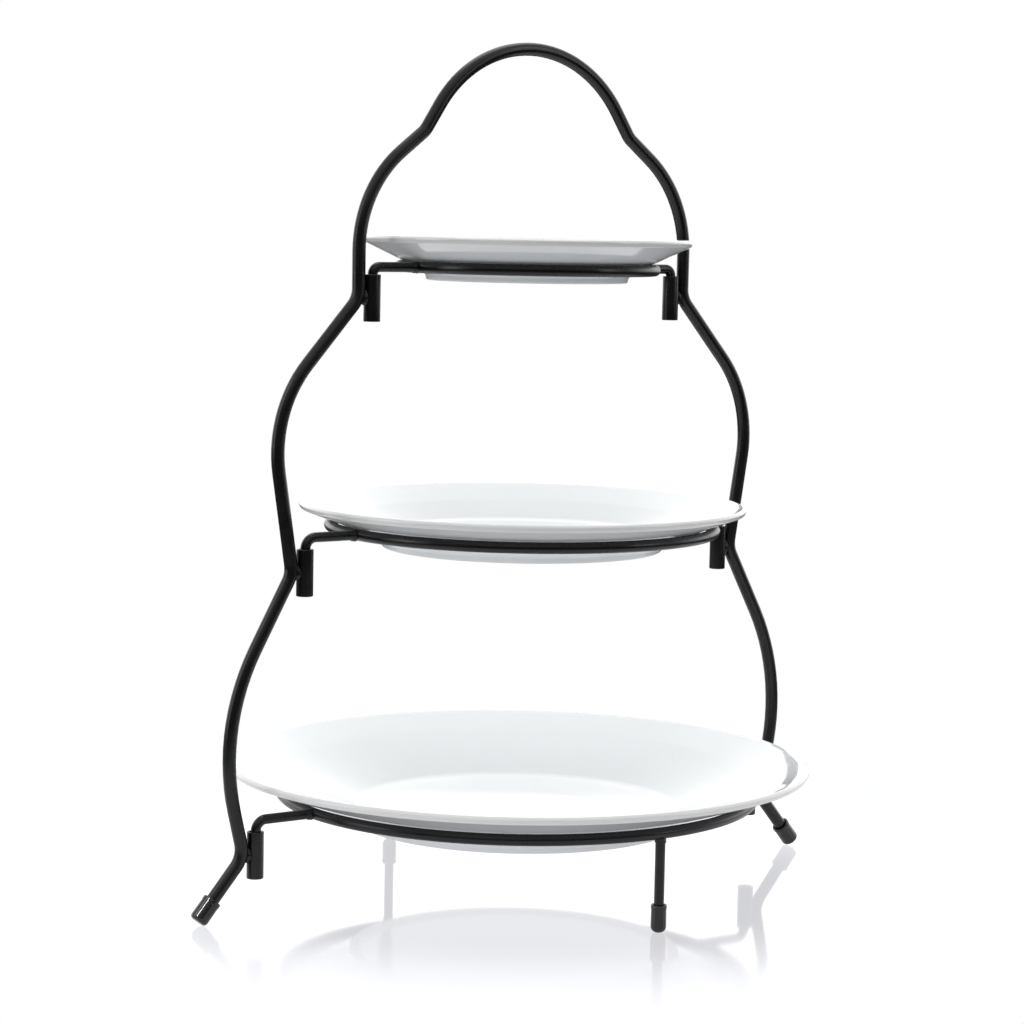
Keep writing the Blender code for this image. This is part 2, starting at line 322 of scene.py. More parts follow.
@dataclass(frozen=True)
class PorcelainGlaze:
    """Clear glossy glaze over cool white porcelain, wiped off the foot's standing edge, with
    painted shade darkening its lip.
    """

    colour: Colour = (0.828, 0.853, 0.863)
    # A darker grey for the lip: painted shade.
    lip_painted_shade: Colour = (0.700, 0.700, 0.695)
    bisque: Colour = (0.74, 0.72, 0.68)
    roughness: Span = (0.045, 0.085)
    bisque_roughness: float = 0.75
    bisque_height: Span = (0.00025, 0.00060)
    cloud: float = 0.045
    cloud_band: Span = (0.35, 0.65)
    cloud_shades: Span = (0.985, 1.012)
    wave: float = 0.024
    wave_depth: float = 0.00007
    pinhole: float = 0.00080
    pinhole_depth: float = 0.00003
    pinhole_band: Span = (0.80, 0.88)
    pinhole_shade: float = 0.82
    ior: float = 1.55
    translucency: float = 0.06
    scatter: Colour = (0.0030, 0.0028, 0.0026)

    def material(self) -> bpy.types.Material:
        """Builds the finish.

        Returns:
            The material.
        """
        material, graph = new_graph("glazed_porcelain")
        place = graph.place()
        clouds = graph.speckle(self.cloud, 2.0, place)
        waves = graph.speckle(self.wave, 0.0, place)
        dots = graph.speckle(self.pinhole, 0.0, place)
        holes = graph.spread(dots, self.pinhole_band, (0.0, 1.0))
        lip = graph.add("Attribute", attribute_name="lip").outputs["Fac"]
        height = graph.add("SeparateXYZ", {"Vector": place}).outputs["Z"]
        bare = graph.spread(height, self.bisque_height, (1.0, 0.0))
        body = graph.blend(clouds, *shades(self.colour, self.cloud_shades))
        # Painted shade: the lip is blended towards a darker grey.
        lip_shaded = graph.blend(lip, body, tinted(self.lip_painted_shade))
        pitted = graph.blend(holes, lip_shaded, tinted(self.colour, self.pinhole_shade))
        gloss = graph.spread(clouds, self.cloud_band, self.roughness)
        rough = graph.combine(gloss, graph.combine(bare, self.bisque_roughness, "MULTIPLY"))
        relief = graph.bump(waves, self.wave_depth)
        inputs = {
            "Base Color": graph.blend(bare, pitted, tinted(self.bisque)),
            "Roughness": rough,
            "IOR": self.ior,
            "Subsurface Weight": self.translucency,
            "Subsurface Radius": self.scatter,
            "Subsurface Scale": 1.0,
            "Normal": graph.bump(graph.combine(1.0, holes, "SUBTRACT"), self.pinhole_depth, relief),
        }
        graph.surface(graph.add("BsdfPrincipled", inputs))
        return material


@dataclass(frozen=True)
class FloorGloss:
    """White glossy sheet that glows, dimmer towards its middle as painted shade round the stand,
    whose mirror fades away from its middle.
    """

    tint: Colour = (0.960, 0.964, 1.0)
    # The glow's strength in the middle and at the edge; the dimmer middle is painted shade round
    # the stand.
    glow_and_painted_shade: Span = (0.67, 1.04)
    mirror: Span = (0.36, 0.0)
    fade: Span = (0.115, 0.235)
    roughness: Span = (0.05, 0.16)

    def material(self) -> bpy.types.Material:
        """Builds the finish.

        Returns:
            The material.
        """
        material, graph = new_graph("white_gloss_floor")
        away = graph.add("VectorMath", {0: graph.place()}, operation="LENGTH").outputs["Value"]
        inputs = {
            "Base Color": (0.0, 0.0, 0.0, 1.0),
            "Roughness": graph.spread(away, self.fade, self.roughness),
            "Specular IOR Level": graph.spread(away, self.fade, self.mirror),
            "Emission Color": tinted(self.tint),
            # Painted shade: the glow is dimmer towards the middle, round the stand's base, and full
            # away from it.
            "Emission Strength": graph.spread(away, self.fade, self.glow_and_painted_shade),
        }
        graph.surface(graph.add("BsdfPrincipled", inputs))
        return material


def as_object(
    name: str, bm: bmesh.types.BMesh, finish: bpy.types.Material, sharp: float = 0.6
) -> bpy.types.Object:
    """Turns a finished bmesh into a smooth shaded object of the scene.

    Args:
        name: the object's name.
        bm: its mesh, which is freed.
        finish: its material.
        sharp: the angle, in radians, past which an edge stays sharp.

    Returns:
        The object.
    """
    bmesh.ops.recalc_face_normals(bm, faces=bm.faces)
    mesh = bpy.data.meshes.new(name)
    bm.to_mesh(mesh)
    bm.free()
    mesh.shade_smooth()
    mesh.set_sharp_from_angle(angle=sharp)
    mesh.materials.append(finish)
    obj = bpy.data.objects.new(name, mesh)
    bpy.context.scene.collection.objects.link(obj)
    return obj


def pieces_with(slot: Slot) -> bpy.types.Collection:
    """The collection of the pieces with one slot, which a light can be kept to."""
    return bpy.data.collections.get(slot.name) or bpy.data.collections.new(slot.name)


def hand_over(obj: bpy.types.Object, body: str, slot: Slot, *nodes: str) -> None:
    """Gives a finished piece to its body, and hides the solids that it stands for.

    Args:
        obj: the piece, in place.
        body: the frame's body that carries it.
        slot: the material slot whose collection it joins.
        nodes: the frame's nodes that it replaces.
    """
    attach(obj, body)
    pieces_with(slot).objects.link(obj)
    if nodes:
        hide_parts(*nodes)
    log.info("%s rides on %s, %d faces", obj.name, body, len(obj.data.polygons))


@functools.cache
def box_of(node: str) -> tuple[Vector, Vector]:
    """A node's lowest and highest corners at rest."""
    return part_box(node)


def middle_of(node: str) -> Vector:
    """The middle of a node's box."""
    low, high = box_of(node)
    return (low + high) / 2


def full_circle(steps: int) -> list[float]:
    """The angles of an evenly divided circle, in radians."""
    return [2 * math.pi * i / steps for i in range(steps)]


def rounded_end(radius: float, edge: float, steps: int = 4) -> Outline:
    """How a bar's end closes, from its full section to its flat tip.

    Args:
        radius: the bar's radius.
        edge: the radius of the end's rounded edge.
        steps: how many steps the edge has.

    Returns:
        Pairs of (how far the section lies short of the tip, its radius).
    """
    turns = [math.radians(90) * i / steps for i in range(steps + 1)]
    return [(edge * (1 - math.sin(t)), radius - edge * (1 - math.cos(t))) for t in turns]


@dataclass
class Bar:
    """A round bar swept along a flat path."""

    path: list[Vector]
    radius: float
    normal: Vector
    sides: int = 28
    closed: bool = False
    edge: float = 0.0005
    swell: Callable[[Vector], float] | None = None

    def section(self, at: Vector, along: Vector, radius: float) -> list[Vector]:
        """The points of one cross-section.

        Args:
            at: its middle.
            along: the direction of the bar there.
            radius: its radius.

        Returns:
            The points, in order round the bar.
        """
        across = along.cross(self.normal).normalized()
        if self.swell:
            radius *= self.swell(at)
        turns = full_circle(self.sides)
        return [at + (across * math.cos(t) + self.normal * math.sin(t)) * radius for t in turns]

    def sections(self) -> list[list[Vector]]:
        """Every cross-section of the bar.

        Returns:
            The sections, in order along the bar.
        """
        count = len(self.path)
        rings = []
        for i, at in enumerate(self.path):
            before = self.path[i - 1] if i or self.closed else at
            after = self.path[(i + 1) % count] if i < count - 1 or self.closed else at
            rings.append(self.section(at, (after - before).normalized(), self.radius))
        if not self.closed:
            rings[:1] = self.end_sections(self.path[0], self.path[1])[::-1]
            rings[-1:] = self.end_sections(self.path[-1], self.path[-2])
            for ring in rings[: self.end_count]:
                ring.reverse()
        return rings

    @property
    def end_count(self) -> int:
        """How many cross-sections one end has."""
        return len(rounded_end(self.radius, self.edge))

    def end_sections(self, tip: Vector, inner: Vector) -> list[list[Vector]]:
        """The cross-sections that close one end.

        Args:
            tip: the end of the path.
            inner: the path's next point.

        Returns:
            The sections, outwards to the tip.
        """
        out = (tip - inner).normalized()
        ends = rounded_end(self.radius, self.edge)
        return [self.section(tip - out * short, out, radius) for short, radius in ends]

    def mesh(self) -> bmesh.types.BMesh:
        """Builds the bar.

        Returns:
            The mesh.
        """
        bm = bmesh.new()
        rings = [[bm.verts.new(p) for p in ring] for ring in self.sections()]
        if not self.closed:
            rings = self.aligned(rings)
        pairs = list(zip(rings, rings[1:]))
        if self.closed:
            pairs.append((rings[-1], rings[0]))
        for low, high in pairs:
            for i in range(self.sides):
                j = (i + 1) % self.sides
                bm.faces.new((low[i], low[j], high[j], high[i]))
        if not self.closed:
            bm.faces.new(rings[0][::-1])
            bm.faces.new(rings[-1])
        return bm

    def aligned(self, rings: list) -> list:
        """Turns each ring of vertices to start beside the last one's start.

        Args:
            rings: rings of vertices, in order along the bar.

        Returns:
            The same rings, each rotated.
        """
        lined = [rings[0]]
        for ring in rings[1:]:
            start = lined[-1][0].co
            nearest = min(range(self.sides), key=lambda i: (ring[i].co - start).length)
            lined.append(ring[nearest:] + ring[:nearest])
        return lined


def arc_between(
    centre: Vector, first: Vector, last: Vector, radius: float, step: float
) -> list[Vector]:
    """Points of the shorter arc about centre, from the direction first to the direction last.

    Args:
        centre: the arc's centre.
        first: the unit direction that it starts at.
        last: the unit direction that it ends at.
        radius: its radius.
        step: the largest turn between two points, in radians.

    Returns:
        The points.
    """
    steps = max(2, math.ceil(first.angle(last) / step))
    return [centre + first.slerp(last, i / steps) * radius for i in range(steps + 1)]


def bent_path(corners: Sequence, run_step: float = 0.003, step: float = 0.06) -> list[Vector]:
    """A path of straight runs whose inner corners are rounded.

    Args:
        corners: (point, radius) for each corner; the radius of an end isn't used.
        run_step: the longest piece of a straight run.
        step: the largest turn between two points of a bend, in radians.

    Returns:
        The points of the path.
    """
    reaches = [0.0]
    for (before, _), (corner, radius), (after, _) in zip(corners, corners[1:], corners[2:]):
        turn = math.pi - (before - corner).angle(after - corner)
        reaches.append(radius * math.tan(turn / 2))
    reaches.append(0.0)
    runs = [(b[0] - a[0]).length for a, b in zip(corners, corners[1:])]
    needs = [a + b for a, b in zip(reaches, reaches[1:])]
    shares = [min(1.0, run / need) for run, need in zip(runs, needs)]
    points = [corners[0][0]]
    for i in range(1, len(corners) - 1):
        corner, radius = corners[i]
        share = min(shares[i - 1], shares[i])
        to_before = (corners[i - 1][0] - corner).normalized()
        to_after = (corners[i + 1][0] - corner).normalized()
        reach = reaches[i] * share
        radius *= share
        centre = corner + (to_before + to_after).normalized() * math.hypot(radius, reach)
        first = (corner + to_before * reach - centre).normalized()
        last = (corner + to_after * reach - centre).normalized()
        bend = arc_between(centre, first, last, radius, step)
        points += run_between(points[-1], bend[0], run_step)[1:]
        points += bend[1:] if (points[-1] - bend[0]).length < TOUCHING else bend
    points += run_between(points[-1], corners[-1][0], run_step)[1:]
    return points


def run_between(start: Vector, end: Vector, step: float) -> list[Vector]:
    """Evenly spaced points of a straight run, both ends included.

    Args:
        start: its first point.
        end: its last point.
        step: the longest space between two points.

    Returns:
        The points, or only the start where the run has no length.
    """
    length = (end - start).length
    if length < TOUCHING:
        return [start]
    steps = max(1, math.ceil(length / step))
    return [start.lerp(end, i / steps) for i in range(steps + 1)]


def rounded_outline(corners: Sequence, step: float = 0.25) -> Outline:
    """A flat outline whose corners are rounded, for a turned piece.

    Args:
        corners: (x, z, radius) for each corner; an end's radius isn't used.
        step: the largest turn between two points of a corner, in radians.

    Returns:
        The outline's points.
    """
    raised = [(Vector((x, 0.0, z)), radius) for x, z, radius in corners]
    path = bent_path(raised, UNDIVIDED, step)
    return [(point.x, point.z) for point in path]


def turned(outline: Outline, steps: int) -> bmesh.types.BMesh:
    """A closed solid turned about Z, from an outline whose two ends lie on the axis.

    Args:
        outline: (distance from the axis, height) for each point.
        steps: how many steps the turn has.

    Returns:
        The mesh.
    """
    bm = bmesh.new()
    turns = full_circle(steps)
    first = bm.verts.new((0.0, 0.0, outline[0][1]))
    last = bm.verts.new((0.0, 0.0, outline[-1][1]))
    rings = []
    for x, z in outline[1:-1]:
        rings.append([bm.verts.new((x * math.cos(t), x * math.sin(t), z)) for t in turns])
    for i in range(steps):
        j = (i + 1) % steps
        bm.faces.new((first, rings[0][i], rings[0][j]))
        for upper, lower in zip(rings, rings[1:]):
            bm.faces.new((upper[i], lower[i], lower[j], upper[j]))
        bm.faces.new((rings[-1][j], rings[-1][i], last))
    return bm


@dataclass
class WeldBead:
    """A hand-laid weld: a rippled lump that fills the corner between two bars."""

    name: str
    at: Vector
    half_size: Extents
    ripple_along: Vector = field(default_factory=lambda: Z_AXIS)
    ripples: float = 7.0
    ripple_depth: float = 0.035
    lump_size: float = 0.0022
    lump_depth: float = 0.10
    columns: int = 36
    rows: int = 28
    sharp: float = 1.2

    def build(self, finish: bpy.types.Material) -> bpy.types.Object:
        """Builds the bead.

        Args:
            finish: its material.

        Returns:
            The bead, in place.
        """
        bm = bmesh.new()
        bmesh.ops.create_uvsphere(bm, u_segments=self.columns, v_segments=self.rows, radius=1.0)
        for vert in bm.verts:
            unit = vert.co.normalized()
            ripple = math.sin(unit.dot(self.ripple_along) * self.ripples * math.pi)
            out = Vector(a * b for a, b in zip(unit, self.half_size))
            lump = noise.noise((self.at + out) / self.lump_size)
            reach = 1.0 + self.ripple_depth * ripple + self.lump_depth * (lump - 0.5)
            vert.co = self.at + out * reach
        return as_object(self.name, bm, finish, self.sharp)


@dataclass
class Cap:
    """A moulded vinyl cap: a cup with a thicker mouth, a rounded foot and a parting line."""

    bore: float
    wall: float = 0.0011
    floor: float = 0.0020
    floor_round: float = 0.0003
    foot_round: float = 0.0028
    neck_drop: float = 0.0006
    mouth_height: float = 0.0017
    mouth_proud: float = 0.00016
    mouth_round: float = 0.00035
    seam_width: float = 0.10
    seam_proud: float = 0.00009
    steps: int = 64

    def outline(self, length: float) -> Outline:
        """The cup's outline, from the middle of its floor inside to the middle of its foot.

        Args:
            length: the cap's length.

        Returns:
            The outline.
        """
        outer = self.bore + self.wall - self.mouth_proud
        proud = self.bore + self.wall
        neck = length - self.mouth_height
        corners = [
            (0.0, self.floor, 0.0),
            (self.bore, self.floor, self.floor_round),
            (self.bore, length, self.mouth_round),
            (proud, length, self.mouth_round),
            (proud, neck, self.mouth_proud),
            (outer, neck - self.neck_drop, self.neck_drop),
            (outer, 0.0, self.foot_round),
            (0.0, 0.0, 0.0),
        ]
        return rounded_outline(corners)

    def build(self, name: str, length: float, finish: bpy.types.Material) -> bpy.types.Object:
        """Builds the cap on Z with its foot at the origin.

        Args:
            name: the piece's name.
            length: the cap's length.
            finish: its material.

        Returns:
            The cap.
        """
        bm = turned(self.outline(length), self.steps)
        for vert in bm.verts:
            flat = Vector((vert.co.x, vert.co.y))
            if flat.length < self.bore + self.wall * 0.5 or vert.co.z < self.foot_round:
                continue
            off_seam = abs(math.sin(math.atan2(flat.y, flat.x))) / self.seam_width
            ridge = self.seam_proud * max(0.0, 1.0 - off_seam)
            shrink = 1.0 + (ridge - self.seam_proud) / flat.length
            vert.co.x *= shrink
            vert.co.y *= shrink
        return as_object(name, bm, finish)


@dataclass
class Swell:
    """One outward swell of the arch, measured from the middle of the socket below it."""

    out: float
    up: float
    radius: float


@dataclass
class Arch:
    """The bent rod with its caps, and the six sockets welded to its kinks."""

    coat: bpy.types.Material
    vinyl: bpy.types.Material
    body: str = "arch"
    rod_radius: float = 0.0030
    rod_uneven: float = 0.012
    rod_uneven_length: float = 0.03
    gap: float = 0.0003
    tube_radius: float = 0.0038
    tube_bore: float = 0.00255
    tube_edge: float = 0.00035
    kink_radius: float = 0.012
    kink_passes: int = 4
    shoulder_radius: float = 0.012
    shoulder_half_width: float = 0.0571
    shoulder_drop: float = 0.0386
    handle_radius: float = 0.059
    handle_rise: float = 0.1136
    foot_out: float = 0.02875
    foot_passes: int = 3
    cap_length: float = 0.0115
    cap_floor: float = Cap.floor
    cap_edge: float = 0.0018
    cap_radius: float = 0.0044
    weld_half_size: Extents = (0.0023, 0.0029, 0.0036)
    swells: dict[str, Swell] = field(
        default_factory=lambda: {
            "bottom": Swell(out=0.01975, up=0.0578, radius=0.100),
            "middle": Swell(out=0.0181, up=0.0718, radius=0.058),
            "top": Swell(out=0.0073, up=0.0485, radius=0.0556),
        }
    )

    def socket_middle(self, tier: str, side: Side = Side.RIGHT) -> Vector:
        """The middle of a socket's tube.

        Args:
            tier: the tier's name.
            side: the side of the arch.

        Returns:
            The point.
        """
        low, high = box_of(f"{tier}_socket_{side.word}")
        inner = min(abs(low.x), abs(high.x))
        return Vector((side.value * (inner + self.tube_radius), 0.0, (low.z + high.z) / 2))

    def kink(self, tier: str, below: Vector, above: Vector) -> Vector:
        """The arch's corner beside a socket, whose bend just clears the tube.

        Args:
            tier: the tier's name.
            below: the corner below it.
            above: the corner above it.

        Returns:
            The corner.
        """
        corner = self.socket_middle(tier)
        clear = corner.x + self.tube_radius + self.gap + self.rod_radius
        corner.x = clear
        for _ in range(self.kink_passes):
            down = math.atan2(below.x - corner.x, corner.z - below.z)
            up = math.atan2(above.x - corner.x, above.z - corner.z)
            stretch = math.cos((down - up) / 2) / math.cos((down + up) / 2)
            corner.x = clear + self.kink_radius * (1 - stretch)
        return corner

    def foot(self, bend: Vector) -> Vector:
        """Where the middle of the rod cap's end face lies, with its edge on the floor.

        Args:
            bend: the corner above it.

        Returns:
            The point.
        """
        foot = Vector((self.socket_middle("bottom").x + self.foot_out, 0.0, 0.0))
        for _ in range(self.foot_passes):
            slope = abs(math.atan2(bend.x - foot.x, bend.z - foot.z))
            edge = self.cap_edge * (1 - math.cos(slope))
            foot.z = edge + (self.cap_radius - self.cap_edge) * math.sin(slope)
        return foot

    def corners(self) -> list[tuple[Vector, float]]:
        """The corners of the arch's right half, from its foot to the handle's apex.

        Returns:
            (point, bend radius) for each corner.
        """
        below = self.foot(self.socket_middle("bottom"))
        found = []
        for tier, swell in self.swells.items():
            beside = self.socket_middle(tier)
            belly = beside + Vector((swell.out, 0.0, swell.up))
            found.append((self.kink(tier, below, belly), self.kink_radius))
            found.append((belly, swell.radius))
            below = belly
        top = self.socket_middle("top").z + self.handle_rise
        shoulder = Vector((self.shoulder_half_width, 0.0, top - self.shoulder_drop))
        found.append((shoulder, self.shoulder_radius))
        centre = top - self.handle_radius
        rise = shoulder.z - centre
        lean = math.atan2(rise, shoulder.x)
        lean += math.acos(self.handle_radius / math.hypot(shoulder.x, rise))
        apex = Vector((0.0, 0.0, centre + self.handle_radius / math.sin(lean)))
        found.append((apex, self.handle_radius))
        return [(self.foot(found[0][0]), 0.0)] + found

    def build_rod(self, corners: list[tuple[Vector, float]]) -> None:
        """Builds the rod, from inside one cap to inside the other.

        Args:
            corners: the corners of its right half.
        """
        down = (corners[0][0] - corners[1][0]).normalized()
        end = corners[0][0] - down * (self.cap_floor + self.gap)
        right = [(end, 0.0)] + corners[1:]
        left = [(Vector((-p.x, 0.0, p.z)), radius) for p, radius in right[:-1]]
        path = bent_path(right + left[::-1])
        bar = Bar(path, self.rod_radius, Y_AXIS, swell=self.drawn_wire)
        rod = as_object("arch_bar", bar.mesh(), self.coat)
        hand_over(rod, self.body, Slot.BLACK, "arch_rod")

    def drawn_wire(self, at: Vector) -> float:
        """How much thicker or thinner the coated wire is at a point, as a share of its radius."""
        return 1.0 + self.rod_uneven * noise.noise(at / self.rod_uneven_length)

    def build_socket(self, tier: str, side: Side) -> None:
        """Builds one socket: a tube open at both ends.

        Args:
            tier: the tier's name.
            side: the side of the arch.
        """
        node = f"{tier}_socket_{side.word}"
        low, high = box_of(node)
        middle = self.socket_middle(tier, side)
        half = (high.z - low.z) / 2
        edge = self.tube_edge
        corners = [
            (self.tube_bore, 0.0, 0.0),
            (self.tube_bore, half, edge),
            (self.tube_radius, half, edge),
            (self.tube_radius, -half, edge),
            (self.tube_bore, -half, edge),
            (self.tube_bore, 0.0, 0.0),
        ]
        tube = self.ring_solid(rounded_outline(corners))
        obj = as_object(f"{tier}_tube_{side.word}", tube, self.coat)
        obj.location = middle
        hand_over(obj, self.body, Slot.BLACK, node)

    def ring_solid(self, outline: Outline, steps: int = 48) -> bmesh.types.BMesh:
        """A solid turned about Z from an outline that closes on itself.

        Args:
            outline: (distance from the axis, height) for each point; the last is the first.
            steps: how many steps the turn has.

        Returns:
            The mesh.
        """
        bm = bmesh.new()
        rings = []
        for turn in full_circle(steps):
            flat = [(x * math.cos(turn), x * math.sin(turn), z) for x, z in outline[:-1]]
            rings.append([bm.verts.new(point) for point in flat])
        for ring, following in zip(rings, rings[1:] + rings[:1]):
            for i in range(len(ring)):
                j = (i + 1) % len(ring)
                bm.faces.new((ring[i], ring[j], following[j], following[i]))
        return bm

    def build_weld(self, tier: str, side: Side) -> None:
        """Builds the weld between a socket and the rod's kink.

        Args:
            tier: the tier's name.
            side: the side of the arch.
        """
        at = self.socket_middle(tier, side)
        at.x += side.value * (self.tube_radius + self.gap / 2)
        bead = WeldBead(f"{tier}_tube_weld_{side.word}", at, self.weld_half_size)
        hand_over(bead.build(self.coat), self.body, Slot.BLACK)

    def build_cap(self, corners: list[tuple[Vector, float]], side: Side) -> None:
        """Builds the cap on one end of the rod.

        Args:
            corners: the corners of the rod's right half.
            side: the side of the arch.
        """
        foot, bend = corners[0][0], corners[1][0]
        cap = Cap(bore=self.rod_radius + self.gap, foot_round=self.cap_edge)
        obj = cap.build(f"rod_foot_{side.word}", self.cap_length, self.vinyl)
        up = bend - foot
        turn = Matrix.Rotation(side.value * math.atan2(up.x, up.z), 4, "Y")
        obj.data.transform(Matrix.Translation((side.value * foot.x, 0.0, foot.z)) @ turn)
        hand_over(obj, self.body, Slot.CAP, f"rod_cap_{side.word}")

    def build(self) -> None:
        """Builds the whole arch."""
        corners = self.corners()
        self.build_rod(corners)
        for side in Side:
            self.build_cap(corners, side)
            for tier in self.swells:
                self.build_socket(tier, side)
                self.build_weld(tier, side)


@dataclass
class Carrier:
    """A wire hoop with two arms whose pins drop into the sockets."""

    tier: str
    coat: bpy.types.Material
    ring_wire: float = 0.0026
    ring_steps: int = 200
    arm_wire: float = 0.00225
    arm_start: float = 0.6
    arm_sides: int = 24
    elbow: float = 0.0050
    arm_run_step: float = 0.002
    arm_bend_step: float = 0.12
    weld_half_size: Extents = (0.0040, 0.0033, 0.0028)
    weld_out: float = 0.8
    weld_ripples: float = 5.0
    seam_length: float = 0.0016
    seam_share: float = 0.09

    @property
    def body(self) -> str:
        """The frame's body that carries these pieces."""
        return f"{self.tier}_carrier"

    @property
    def ring_height(self) -> float:
        """The height of the middle of the hoop's wire."""
        return middle_of(f"{self.tier}_ring").z

    @property
    def ring_radius(self) -> float:
        """The radius of the middle of the hoop's wire."""
        return box_of(f"{self.tier}_ring")[1].x - self.ring_wire

    def build_ring(self) -> None:
        """Builds the hoop, with the swelling where its two ends are welded together."""
        turns = full_circle(self.ring_steps)
        radius, height = self.ring_radius, self.ring_height
        path = [Vector((math.cos(t) * radius, math.sin(t) * radius, height)) for t in turns]
        bar = Bar(path, self.ring_wire, Z_AXIS, closed=True, swell=self.seam)
        hoop = as_object(f"{self.tier}_hoop", bar.mesh(), self.coat)
        hand_over(hoop, self.body, Slot.BLACK, f"{self.tier}_ring")

    def seam(self, at: Vector) -> float:
        """How much thicker the hoop is near its butt weld, as a share of its radius."""
        weld = Vector((0.0, self.ring_radius, self.ring_height))
        return 1.0 + self.seam_share * math.exp(-(((at - weld).length / self.seam_length) ** 2))

    def build_arm(self, side: Side) -> None:
        """Builds one arm, from the hoop out and down into its socket.

        Args:
            side: the side of the arch.
        """
        node = f"{self.tier}_arm_{side.word}"
        low, high = box_of(node)
        outer = max(abs(low.x), abs(high.x)) - self.arm_wire
        x = side.value * outer
        start = side.value * (self.ring_radius + self.ring_wire * self.arm_start)
        corners = [
            (Vector((start, 0.0, self.ring_height)), 0.0),
            (Vector((x, 0.0, self.ring_height)), self.elbow),
            (Vector((x, 0.0, low.z)), 0.0),
        ]
        path = bent_path(corners, self.arm_run_step, self.arm_bend_step)
        bar = Bar(path, self.arm_wire, Y_AXIS, self.arm_sides)
        arm = as_object(f"{self.tier}_hook_{side.word}", bar.mesh(), self.coat)
        hand_over(arm, self.body, Slot.BLACK, node)

    def build_weld(self, side: Side) -> None:
        """Builds the weld between an arm and the hoop.

        Args:
            side: the side of the arch.
        """
        reach = self.ring_radius + self.ring_wire * self.weld_out
        at = Vector((side.value * reach, 0.0, self.ring_height))
        name = f"{self.tier}_hook_weld_{side.word}"
        bead = WeldBead(name, at, self.weld_half_size, X_AXIS, self.weld_ripples)
        hand_over(bead.build(self.coat), self.body, Slot.BLACK)

    def build(self) -> None:
        """Builds the carrier."""
        self.build_ring()
        for side in Side:
            self.build_arm(side)
            self.build_weld(side)


@dataclass
class LeggedCarrier(Carrier):
    """The bottom carrier, which also stands on two capped legs."""

    vinyl: bpy.types.Material | None = None
    gap: float = Arch.gap
    cap_length: float = 0.0125
    leg_end: float = 0.0023
    leg_head: float = 0.5
    leg_step: float = 0.003
    leg_weld_half_size: Extents = (0.0027, 0.0026, 0.0040)

    def build_leg(self, name: str, node: str) -> None:
        """Builds one leg with its weld and its cap.

        Args:
            name: the leg's place, front or rear.
            node: the frame's node for the leg.
        """
        cap_middle = middle_of(f"{node}_cap")
        top = self.ring_height - self.ring_wire * self.leg_head
        foot = Vector((cap_middle.x, cap_middle.y, self.leg_end))
        head = Vector((cap_middle.x, cap_middle.y, top))
        path = run_between(foot, head, self.leg_step)
        bar = Bar(path, self.arm_wire, Y_AXIS, self.arm_sides)
        leg = as_object(f"{name}_post", bar.mesh(), self.coat)
        at = Vector((head.x, head.y, self.ring_height - self.ring_wire))
        half_size, ripples = self.leg_weld_half_size, self.weld_ripples
        bead = WeldBead(f"{name}_post_weld", at, half_size, ripples=ripples)
        hand_over(bead.build(self.coat), self.body, Slot.BLACK)
        cap = Cap(bore=self.arm_wire + self.gap)
        cap = cap.build(f"{name}_post_foot", self.cap_length, self.vinyl)
        cap.location = (cap_middle.x, cap_middle.y, 0.0)
        hand_over(cap, self.body, Slot.CAP, f"{node}_cap")
        hand_over(leg, self.body, Slot.BLACK, node)

    def build(self) -> None:
        """Builds the carrier and its legs."""
        super().build()
        self.build_leg("front", "front_leg")
        self.build_leg("rear", "rear_leg")


